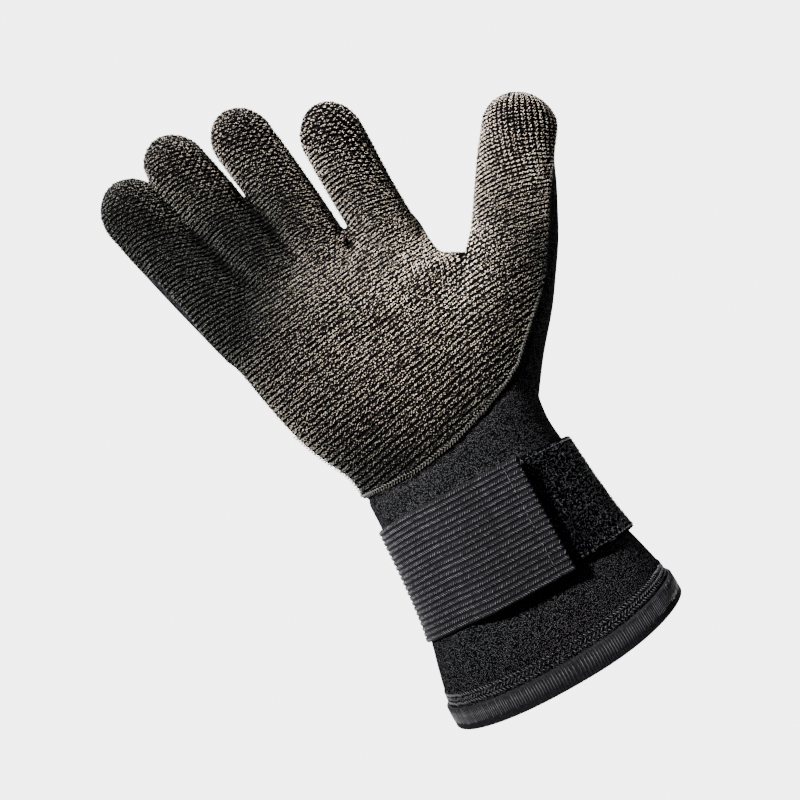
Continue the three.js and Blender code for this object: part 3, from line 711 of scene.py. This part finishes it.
for over, forward, size, beside, ahead, lean in loop_turns:
    over = over * on_panel(fineness) + chance.normal(0, 0.13, count)
    over = blend(over, beside + chance.normal(0, 0.05, count), in_wale)
    forward = forward + chance.normal(0, 0.1, count)
    forward = blend(forward, ahead + chance.normal(0, 0.06, count), in_wale) * step
    point = stitch_points + over[:, None] * row_way + forward[:, None] * hand + 0.2 * (size - 1) * stitch_up
    loose = chance.normal(0, 0.7, count)
    in_row = row_way + (slant + loose)[:, None] * hand
    way = blend(in_row, hand + (lean + 0.3 * loose)[:, None] * row_way, in_wale[:, None])
    grains.append((point, way, stitch_up, size * bulk * chance.uniform(0.8, 1.15, count)))
loop_points, loop_along, loop_up, loop_size = joined(grains)
loop_owner = np.tile(on_panel(held).argmax(1), len(loop_turns))


def repeat(name, points, along, up, size, shape, material, inputs):
    """A plain mesh of one small shape set at each point: X along the row, Z out of the surface. shape builds it from
    a tree and its named inputs, which are given as name: value in mm."""
    over_table = (-1e3, -1e3, 0.32)  # no turn or stitch sinks into the table
    cloud = bpy.data.meshes.new(name)
    cloud.from_pydata((np.maximum(points + in_part, over_table) / 1000).tolist(), [], [])
    for label, values in (("along", along), ("up", up)):
        vectors = cloud.attributes.new(label, "FLOAT_VECTOR", "POINT")
        vectors.data.foreach_set("vector", np.asarray(values, np.float32).ravel())
    cloud.attributes.new("size", "FLOAT", "POINT").data.foreach_set("value", np.asarray(size, np.float32))
    made = add_object(name, cloud)
    tree = bpy.data.node_groups.new(name, "GeometryNodeTree")
    tree.interface.new_socket("Geometry", in_out="INPUT", socket_type="NodeSocketGeometry")
    kinds = {label: "NodeSocketFloat" for label in inputs} | {"Seed": "NodeSocketInt"}
    sockets = {label: tree.interface.new_socket(label, in_out="INPUT", socket_type=kinds[label]) for label in kinds}
    tree.interface.new_socket("Geometry", in_out="OUTPUT", socket_type="NodeSocketGeometry")
    given = tree.nodes.new("NodeGroupInput").outputs
    up, along, size = (
        add_node(tree, "GeometryNodeInputNamedAttribute", {"data_type": kind}, Name=label).outputs["Attribute"]
        for label, kind in (("up", "FLOAT_VECTOR"), ("along", "FLOAT_VECTOR"), ("size", "FLOAT"))
    )
    axes = {"primary_axis": "Z", "secondary_axis": "X"}
    turn = add_node(tree, "FunctionNodeAxesToRotation", axes, Primary_Axis=up, Secondary_Axis=along)
    uneven = add_node(
        tree, "FunctionNodeRandomValue", {"data_type": "FLOAT"}, input_2=0.82, input_3=1.12, Seed=given["Seed"]
    ).outputs[1]
    size = add_node(tree, "ShaderNodeMath", {"operation": "MULTIPLY"}, input_0=uneven, input_1=size).outputs[0]
    laid = add_node(
        tree, "GeometryNodeInstanceOnPoints", None, Points=given["Geometry"], Instance=shape(tree, given),
        Rotation=turn.outputs["Rotation"], Scale=size,
    )
    real = add_node(tree, "GeometryNodeRealizeInstances", None, Geometry=laid.outputs["Instances"])
    smooth = add_node(tree, "GeometryNodeSetShadeSmooth", None, Geometry=real.outputs["Geometry"])
    dyed = add_node(tree, "GeometryNodeSetMaterial", None, Geometry=smooth.outputs["Geometry"], Material=material)
    tree.links.new(dyed.outputs["Geometry"], tree.nodes.new("NodeGroupOutput").inputs["Geometry"])
    grown = made.modifiers.new("repeat", "NODES")
    grown.node_group = tree
    for label, value in inputs.items():
        grown[sockets[label].identifier] = value / 1000
    grown[sockets["Seed"].identifier] = 3
    return finished(made)


def bead(tree, given):
    """A small oblong bead, as the top of a turn of yarn or a stitch looks."""
    ball = add_node(tree, "GeometryNodeMeshUVSphere", None, Segments=3, Rings=3, Radius=0.5).outputs["Mesh"]
    size = add_node(tree, "ShaderNodeCombineXYZ", None, X=given["Length"], Y=given["Width"], Z=given["Height"])
    sized = add_node(tree, "GeometryNodeTransform", None, Geometry=ball, Scale=size.outputs["Vector"])
    return sized.outputs["Geometry"]


# grip yarn: an elastic core wrapped in grey and dark fibre, mottled every 0.6 mm, whose pale dots are partly painted
# glints. Its colour carries painted light and shade: pale, warm grey in painted pools of lamplight over the palm, web
# and fingertips, and painted shade down to near black at the little finger.
yarn_mottle = 0.625
grip_yarn, tree, shader = new_material("grip_yarn", 0.5, 0.12)
place = add_node(tree, "ShaderNodeTexCoord").outputs["Object"]
mottle = add_node(tree, "ShaderNodeTexNoise", None, Vector=place, Scale=1000 / yarn_mottle, Detail=0.0).outputs["Fac"]
painted_light_pools = [  # x, y, z, reach, strength: palm, web, thumb, index, middle, ring, outer heel, heel, thumb's side
    (12, 70, 38, 67, 1), (42, 75, 38, 34, 1), (92, 113, 42, 46, 0.85), (22, 143, 40, 44, 0.56),
    (-9, 168, 24, 42, 0.25), (-39, 171, 22, 38, 0.18), (-44, 56, 36, 42, 0.26), (-8, 30, 36, 36, 0.3),
    (76, 92, 44, 36, 0.55),
]
# each pool is painted light on the yarn, strongest at its centre, where the lamp's light falls
painted_light_share = 0.0
for x, y, z, reach, strength in painted_light_pools:
    spot = ((x + in_part[0]) / 1000, (y + in_part[1]) / 1000, z / 1000)
    apart = add_node(tree, "ShaderNodeVectorMath", {"operation": "DISTANCE"}, input_0=place, input_1=spot)
    share = add_node(
        tree, "ShaderNodeMapRange", {"interpolation_type": "SMOOTHSTEP"}, Value=apart.outputs["Value"],
        From_Min=0.0, From_Max=reach / 1000, To_Min=strength, To_Max=0.0,
    ).outputs[0]
    painted_light_share = add_node(tree, "ShaderNodeMath", {"operation": "ADD", "use_clamp": True}, input_0=painted_light_share, input_1=share)
    painted_light_share = painted_light_share.outputs[0]
# the dark tone is painted shade and the pale warm tone painted light, mixed by the pools
shaded_yarn_tone, lit_yarn_tone = (
    add_node(tree, "ShaderNodeValToRGB", {"stops": ((0.45, dark), (0.6, pale))}, Fac=mottle).outputs["Color"]
    for dark, pale in (("#050505", "#3e413b"), ("#161210", "#f6e3d0"))
)
tone = add_node(tree, "ShaderNodeMix", {"data_type": "RGBA"}, Factor=painted_light_share, input_6=shaded_yarn_tone, input_7=lit_yarn_tone)
tree.links.new(tone.outputs[2], shader.inputs["Base Color"])
turn_size = {"Length": 0.88, "Width": 0.41, "Height": 0.78}
for name, mine in (
    ("palm_grip_loops", loop_owner == 5), ("upper_finger_grip_loops", loop_owner < 2),
    ("lower_finger_grip_loops", (loop_owner == 2) | (loop_owner == 3)), ("thumb_grip_loops", loop_owner == 4),
):
    grip_loops = repeat(
        name, loop_points[mine], loop_along[mine], loop_up[mine], loop_size[mine], bead, grip_yarn, turn_size
    )
    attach(grip_loops, "root")

# ---- The wrist closure: a band of woven elastic round the wrist, sewn down behind, over
# a strip of loop pile, with a hook tape under its free end. Its webbing is ribbed by the
# 22 covered rubber cords that run along it.
band_along, band_slant, band_tilt = 34.6, 4.0, 1.9
strap_width, strap_thickness, loop_width, loop_thickness, hook_thickness, hook_margin = 50.8, 1.6, 48.0, 2.8, 1.5, 2.5
strap_free, strap_skew, strap_sewn, strap_settled = 69.0, 3.5, 316.0, 128.0  # degrees round from the thumb's side
hook_end, loop_sewn, loop_hidden, near = 96.0, -40.0, 102.0, 0.3
end_curl, curl_from, curl_gone = 1.6, 68, 82
cords, cord_height = 22, 0.5


def wrap_point(angle, across, width, lift):
    """A point of a band laid round the cuff: angle in degrees from the thumb's side, across from 0 to 1."""
    turn = np.radians(angle)
    y = band_slant * np.sin(turn) - band_tilt * np.cos(turn) - band_along + (across - 0.5) * width
    return arm_point(y, turn, lift)


def strap_lift(angle):
    """The strap's under face above the cuff: over the loop pile and the hook tape, then down on the cuff. Its free
    end curls up a little."""
    over_layers = near + loop_thickness + near + hook_thickness + near
    curl = end_curl * (1 - ease(angle, curl_from, curl_gone)) ** 2
    return blend(over_layers, near, ease(angle, loop_hidden, strap_settled)) + curl


def band(name, start, end, skew, width, thickness, lift, steps, across, material, outer=None):
    """A closed band round the cuff. outer gives its outer face's extra height at each place across it."""
    j = np.linspace(0, 1, across + 1)
    i = np.linspace(0, 1, steps + 1)
    angle = blend(start + skew * (1 - j[None]), end, i[:, None])
    share = np.broadcast_to(j[None], angle.shape)
    under = wrap_point(angle, share, width, lift(angle))
    extra = thickness if outer is None else thickness + outer(share)
    over = wrap_point(angle, share, width, lift(angle) + extra)
    count = over.shape[0] * over.shape[1]
    points = np.vstack([under.reshape(-1, 3), over.reshape(-1, 3)])
    a = (np.arange(steps)[:, None] * (across + 1) + np.arange(across)[None]).ravel()
    quads = [
        np.stack([a, a + 1, a + across + 2, a + across + 1], 1),
        np.stack([a, a + across + 1, a + across + 2, a + 1], 1) + count,
    ]
    along_edge = np.arange(steps) * (across + 1)
    for edge in (along_edge, along_edge + across):
        rim = np.stack([edge, edge + across + 1, edge + across + 1 + count, edge + count], 1)
        quads.append(rim if edge is along_edge else rim[:, ::-1])
    for edge in (0, steps):
        e = edge * (across + 1) + np.arange(across)
        rim = np.stack([e, e + count, e + 1 + count, e + 1], 1)
        quads.append(rim if edge == 0 else rim[:, ::-1])
    made = mesh_object(name, points, np.vstack(quads), material)
    face_out(made.data)
    return made


def mottled(name, roughness, gloss, grain, detail, dark, pale):
    """A yarn's or tape's material: a mottle of two shades, its grain in mm, dark and pale each a stop and a colour."""
    material, tree, shader = new_material(name, roughness, gloss)
    place = add_node(tree, "ShaderNodeTexCoord").outputs["Object"]
    mottle = add_node(tree, "ShaderNodeTexNoise", None, Vector=place, Scale=1000 / grain, Detail=detail).outputs["Fac"]
    tone = add_node(tree, "ShaderNodeValToRGB", {"stops": (dark, pale)}, Fac=mottle)
    tree.links.new(tone.outputs["Color"], shader.inputs["Base Color"])
    return material, tree, shader, mottle


# woven polyester and rubber: near black and dull, as only the shaded ground between the covering turns shows
webbing, tree, shader, mottle = mottled(
    "ribbed_elastic_webbing", 0.75, 0.03, 0.667, 2.0, (0.35, "#030304"), (0.75, "#0c0c0e")
)
bumps = add_node(tree, "ShaderNodeBump", None, Strength=0.6, Distance=0.0003, Height=mottle)
tree.links.new(bumps.outputs["Normal"], shader.inputs["Normal"])
strap_ribs = band(
    "strap_webbing", strap_free, strap_sewn, strap_skew, strap_width, strap_thickness - cord_height, strap_lift,
    150, 6 * cords, webbing, lambda share: cord_height * np.abs(np.sin(np.pi * share * cords)) ** 0.6,
)
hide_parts("strap")
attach(strap_ribs, "root")


# ---- The webbing's covering yarn: a plied yarn wound over each rubber cord, so that each
# rib shows slanted turns, leaning one way and the other from rib to rib.
def wrap_frame(angle, share, width, lift):
    """Points on a band's face, with the ways round it, across it and out of it."""
    here = wrap_point(angle, share, width, lift)
    round_it = wrap_point(angle + 0.6, share, width, lift) - wrap_point(angle - 0.6, share, width, lift)
    across_it = wrap_point(angle, share + 0.01, width, lift) - wrap_point(angle, share - 0.01, width, lift)
    round_it, across_it = unit(round_it), unit(across_it)
    return here, round_it, across_it, np.cross(across_it, round_it)


def length_along(line):
    """How far along a line each of its points is."""
    return np.concatenate([[0], np.cumsum(np.linalg.norm(np.diff(line, axis=0), axis=1))])


def even_angles(start, end, pitch, lift):
    """Angles round the cuff that are a pitch apart along a band's middle."""
    fine = np.linspace(start, end, 800)
    line = wrap_point(fine, 0.5 + 0 * fine, strap_width, lift(fine))
    length = length_along(line)
    return np.interp(np.arange(pitch / 2, length[-1], pitch), length, fine)


# plied polyester yarn: slightly shiny charcoal and black twists, mottled every 0.8 mm, that catch the lamp in ticks;
# the pale mottle adds painted glints to them
webbing_yarn, *_ = mottled("plied_polyester_yarn", 0.5, 0.1, 0.769, 1.0, (0.36, "#0d0c0f"), (0.64, "#4a484d"))
turn_pitch, first_turn, turn_sunk = 0.98, 0.4, 0.12
turn_angle = even_angles(strap_free + strap_skew + first_turn, strap_sewn, turn_pitch, strap_lift)
cord_at = (np.arange(cords) + 0.5) / cords
turn_angle, cord_at = (v.ravel() for v in np.meshgrid(turn_angle, cord_at, indexing="ij"))
turn_angle = turn_angle - strap_skew * cord_at * (1 - ease(turn_angle, strap_free, 130))
turn_lift = strap_lift(turn_angle) + strap_thickness - turn_sunk
here, round_it, across_it, out_of = wrap_frame(turn_angle, cord_at, strap_width, turn_lift)
lean = np.where(np.round(cord_at * cords - 0.5) % 2 == 0, 1, -1)[:, None]
strap_yarn = repeat(
    "strap_yarn", here, across_it * 0.8 + lean * round_it * 0.6, out_of, chance.uniform(0.9, 1.1, len(here)), bead,
    webbing_yarn, {"Length": 2.25, "Width": 0.46, "Height": 0.56},
)
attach(strap_yarn, "root")

# ---- The strip that the hook tape grips: a knitted nylon tape with its fine loops brushed
# up into a pile, sewn on the thumb's side of the wrist.
nap_depth = 0.3
# black nylon tape: the dead black ground under the pile
loop_ground, *_ = new_material("loop_pile_ground", 0.9, 0.0, "#020203")
loop_strip = band(
    "loop_pile", loop_sewn, loop_hidden, 0, loop_width, loop_thickness - nap_depth, lambda angle: near + 0 * angle,
    60, 20, loop_ground,
)
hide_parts("loop_strip")
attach(loop_strip, "root")


def arch(tree, given):
    """A thin thread bent into an upright loop."""
    wide, low, tall, half = (
        add_node(tree, "ShaderNodeMath", {"operation": "MULTIPLY"}, input_0=given[label], input_1=share).outputs[0]
        for label, share in (("Length", 0.5), ("Length", -0.5), ("Height", 2.0), ("Width", 0.5))
    )
    line = add_node(
        tree, "GeometryNodeCurveQuadraticBezier", None, Resolution=4,
        Start=add_node(tree, "ShaderNodeCombineXYZ", None, X=low).outputs[0],
        Middle=add_node(tree, "ShaderNodeCombineXYZ", None, Z=tall).outputs[0],
        End=add_node(tree, "ShaderNodeCombineXYZ", None, X=wide).outputs[0],
    ).outputs["Curve"]
    ring = add_node(tree, "GeometryNodeCurvePrimitiveCircle", None, Resolution=3, Radius=half).outputs["Curve"]
    return add_node(tree, "GeometryNodeCurveToMesh", None, Curve=line, Profile_Curve=ring).outputs["Mesh"]


# brushed nylon loops: dark fluff with single bright glints, painted in as a pale mottle. The real loops are thinner
# than a pixel, so these are thicker and fewer.
pile_nylon, *_ = mottled("loop_pile_nylon", 0.45, 0.12, 1.43, 1.0, (0.5, "#040405"), (0.72, "#3a393e"))
pile_count = 6000
pile_angle, pile_share = chance.uniform(loop_sewn + 1, loop_hidden, pile_count), chance.uniform(0.01, 0.99, pile_count)
here, round_it, across_it, out_of = wrap_frame(pile_angle, pile_share, loop_width, near + loop_thickness - 0.5)
spin = chance.uniform(0, np.pi, pile_count)[:, None]
tip = chance.normal(0, 0.25, (pile_count, 3))
loop_nap = repeat(
    "loop_nap", here, np.cos(spin) * round_it + np.sin(spin) * across_it, out_of + tip,
    chance.uniform(0.7, 1.2, pile_count), arch, pile_nylon, {"Length": 0.9, "Width": 0.2, "Height": 0.7},
)
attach(loop_nap, "root")

# ---- The hook tape under the strap's free end: a moulded nylon tape sewn on the strap,
# pressed on the loops, and hidden but for its edge.
# moulded nylon: plain smooth near black
hook_nylon, *_ = new_material("hook_tape_nylon", 0.4, 0.1, "#141416")
hook_tab = band(
    "hook_tape", strap_free + 2, hook_end, strap_skew, strap_width - 2 * hook_margin, hook_thickness,
    lambda angle: near + loop_thickness + near + 0 * angle, 12, 16, hook_nylon,
)
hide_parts("hook_tab")
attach(hook_tab, "root")

# ---- The hem: a ribbed knit tape folded round the cuff's cut edge and sewn through both
# faces. Its ribs lie across the tape, one each millimetre round the cuff.
binding_thickness, binding_reach = 1.2, 9.0
outside, inside = near + binding_thickness, -cloth_wall - near - binding_thickness
profile = np.array(  # y from the hem, growth from the skin
    [(binding_reach, outside - binding_thickness), (binding_reach, outside - binding_thickness * 0.3),
     (binding_reach * 0.9, outside), (binding_reach * 0.5, outside), (0, outside), (-outside * 0.4, outside * 0.8),
     (-outside * 0.7, outside * 0.4), (-outside, -cloth_wall / 2), (-outside * 0.7, inside + outside * 0.6),
     (0, inside), (binding_reach * 0.5, inside), (binding_reach, inside), (binding_reach, inside + binding_thickness),
     (-near, inside + binding_thickness), (-near, outside - binding_thickness)]
)
tape_ribs, rib_height = 290, 0.16
hem_steps, count = 4 * tape_ribs, len(profile)
ring = np.linspace(0, 2 * np.pi, hem_steps, endpoint=False)
hem_y = -cuff_length + np.maximum(profile[:, 0], 0)[None] + 0 * ring[:, None]
ribbed = rib_height * np.cos(tape_ribs * ring)[:, None] * (profile[:, 1] > 0.5)[None]
hem_points = arm_point(hem_y, ring[:, None], profile[:, 1][None] + ribbed)
hem_points[:, :, 1] += np.minimum(profile[:, 0], 0)[None]
a = (np.arange(hem_steps)[:, None] * count + np.arange(count)[None]).ravel()
b = (np.arange(hem_steps)[:, None] * count + (np.arange(count)[None] + 1) % count).ravel()
hem_faces = np.stack([a, b, (b + count) % (hem_steps * count), (a + count) % (hem_steps * count)], 1)
# ribbed polyester tape: a plain soft charcoal, faintly mottled every 1.1 mm
hem_knit, *_ = mottled("ribbed_binding_tape", 0.7, 0.03, 1.11, 2.0, (0.35, "#0c0c0e"), (0.7, "#18181a"))
hem_tape = mesh_object("hem_tape", hem_points.reshape(-1, 3), hem_faces, hem_knit)
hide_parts("hem_binding")
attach(hem_tape, "root")


# ---- The hem's cover stitch: three rows of slanted thread just above the tape, leaning
# one way and the other, where a three-needle machine sews the tape and the cuff together.
def arm_frame(y, turn, grow, reach):
    """Points on the cuff at a growth from its skin, with the ways round it and up it. reach is how far up and down
    the cuff its slope is taken."""
    round_it = arm_point(y, turn + 0.01, grow) - arm_point(y, turn - 0.01, grow)
    up_it = arm_point(y + reach, turn, grow) - arm_point(y - reach, turn, grow)
    return unit(round_it), unit(up_it)


# spun polyester thread: dark grey, with a slight sheen that makes each stitch show on the black
stitch_thread, *_ = new_material("dark_polyester_thread", 0.45, 0.2, "#333236")
cover = []
stitch_count, thread_lift = 180, 0.15
for row_number, (above, lean) in enumerate(((10.4, 0.9), (12.2, -0.9), (14.0, 0.9))):
    turn = (np.arange(stitch_count) + 0.5 * row_number) * 2 * np.pi / stitch_count
    y = -cuff_length + above + chance.normal(0, 0.12, stitch_count)
    round_it, up_it = arm_frame(y, turn, thread_lift, 0.5)
    cover.append((arm_point(y, turn, thread_lift), up_it + lean * round_it, np.cross(round_it, up_it)))
here, along_it, out_of = joined(cover)
cover_stitch = repeat(
    "hem_cover_stitch", here, along_it, out_of, np.ones(len(here)), bead, stitch_thread,
    {"Length": 2.5, "Width": 0.5, "Height": 0.6},
)
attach(cover_stitch, "root")

# ---- The stitches that hold the closure: a row along each long edge of the loop pile, and
# one across the webbing's free end, where it is sewn to the hook tape.
rows = []
edge_inset, pile_stitch_step, end_inset, end_stitch_step, stitch_lift = 1.5, 3.3, 7.5, 0.052, 0.1
for share in (edge_inset / loop_width, 1 - edge_inset / loop_width):
    angle = np.arange(loop_sewn + 2, loop_hidden, pile_stitch_step)
    here, round_it, _, out_of = wrap_frame(angle, share + 0 * angle, loop_width, near + loop_thickness + stitch_lift)
    rows.append((here, round_it, out_of))
share = np.arange(0.03, 0.98, end_stitch_step)
angle = strap_free + end_inset + strap_skew * (1 - share)
here, _, across_it, out_of = wrap_frame(angle, share, strap_width, strap_lift(angle) + strap_thickness + stitch_lift)
rows.append((here, across_it, out_of))
here, along_it, out_of = joined(rows)
closure_stitches = repeat(
    "closure_stitches", here, along_it, out_of, np.ones(len(here)), bead, stitch_thread,
    {"Length": 2.0, "Width": 0.5, "Height": 0.5},
)
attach(closure_stitches, "root")

# ---- The tape's ribs: the fine cords of its knit, each lying across the tape's outer face
# from its edge to its fold.
turn = np.arange(tape_ribs) * 2 * np.pi / tape_ribs
y = -cuff_length + 0.46 * binding_reach + 0 * turn
round_it, up_it = arm_frame(y, turn, outside, 2.5)
# the same polyester, drawn tight over each cord: coloured a shade paler than the tape as painted sheen on the ribs,
# with a soft gleam as well
rib_yarn, *_ = new_material("binding_rib_yarn", 0.55, 0.3, "#302f33")
hem_ribs = repeat(
    "hem_ribs", arm_point(y, turn, outside - 0.02), up_it, np.cross(round_it, up_it), np.ones(tape_ribs), bead,
    rib_yarn, {"Length": binding_reach * 1.05, "Width": 0.62, "Height": 0.5},
)
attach(hem_ribs, "root")

# ---- The seam's overlock: two rows of slanted thread that bind the palm panel's edge,
# where it shows at the wrist and the thumb's root. On the digits the seam is turned in.
overlock_until, stitch_step, rim_least = 46, 1.4, 40
beside = {}
for a, b in palm_edges[triangles_at == 1].tolist():
    beside.setdefault(a, []).append(b)
    beside.setdefault(b, []).append(a)
seam_lines, left = [], set(beside)
while left:
    onward = [min(left)]
    line = []
    while onward:
        line.append(onward[0])
        left.discard(onward[0])
        onward = [n for n in beside[onward[0]] if n in left]
    seam_lines.append(line)
# light bonded polyester thread: a warm dark grey, rough and dull, a little paler than the neoprene beside it
seam_thread, *_ = new_material("light_polyester_thread", 0.5, 0.5, "#2e2c28")
stitched = []
for line in seam_lines:
    if len(line) < rim_least:
        continue
    path, out_of = palm_points[line], palm_normals[line]
    for _ in range(6):
        path = 0.5 * path + 0.25 * (np.roll(path, 1, 0) + np.roll(path, -1, 0))
        out_of = 0.5 * out_of + 0.25 * (np.roll(out_of, 1, 0) + np.roll(out_of, -1, 0))
    closed = np.vstack([path, path[:1]])
    length = length_along(closed)
    on_path = lambda at: np.stack([np.interp(at, length, closed[:, k]) for k in range(3)], 1)
    for start, inward, lean in ((0.0, 0.7, 0.75), (0.7, 1.9, -0.75)):
        at = np.arange(start, length[-1], stitch_step)
        here = on_path(at)
        up = np.stack([np.interp(at, length, np.append(out_of[:, k], out_of[0, k])) for k in range(3)], 1)
        ahead = unit(on_path(at + stitch_step / 2) - on_path(at - stitch_step / 2))
        inside_way = np.cross(up, ahead)
        deeper = seam_distance(here + 1.5 * inside_way) > seam_distance(here - 1.5 * inside_way)
        inside_way *= np.where(deeper, 1, -1)[:, None]
        stitched.append((here + inward * inside_way + 0.2 * up, inside_way + lean * ahead, up))
here, along_it, out_of = joined(stitched)
seen = here[:, 1] < overlock_until
here, along_it, out_of = here[seen], along_it[seen], out_of[seen]
overlock = repeat(
    "seam_overlock", here, along_it, out_of, np.ones(len(here)), bead, seam_thread,
    {"Length": 1.9, "Width": 0.7, "Height": 0.8},
)
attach(overlock, "root")
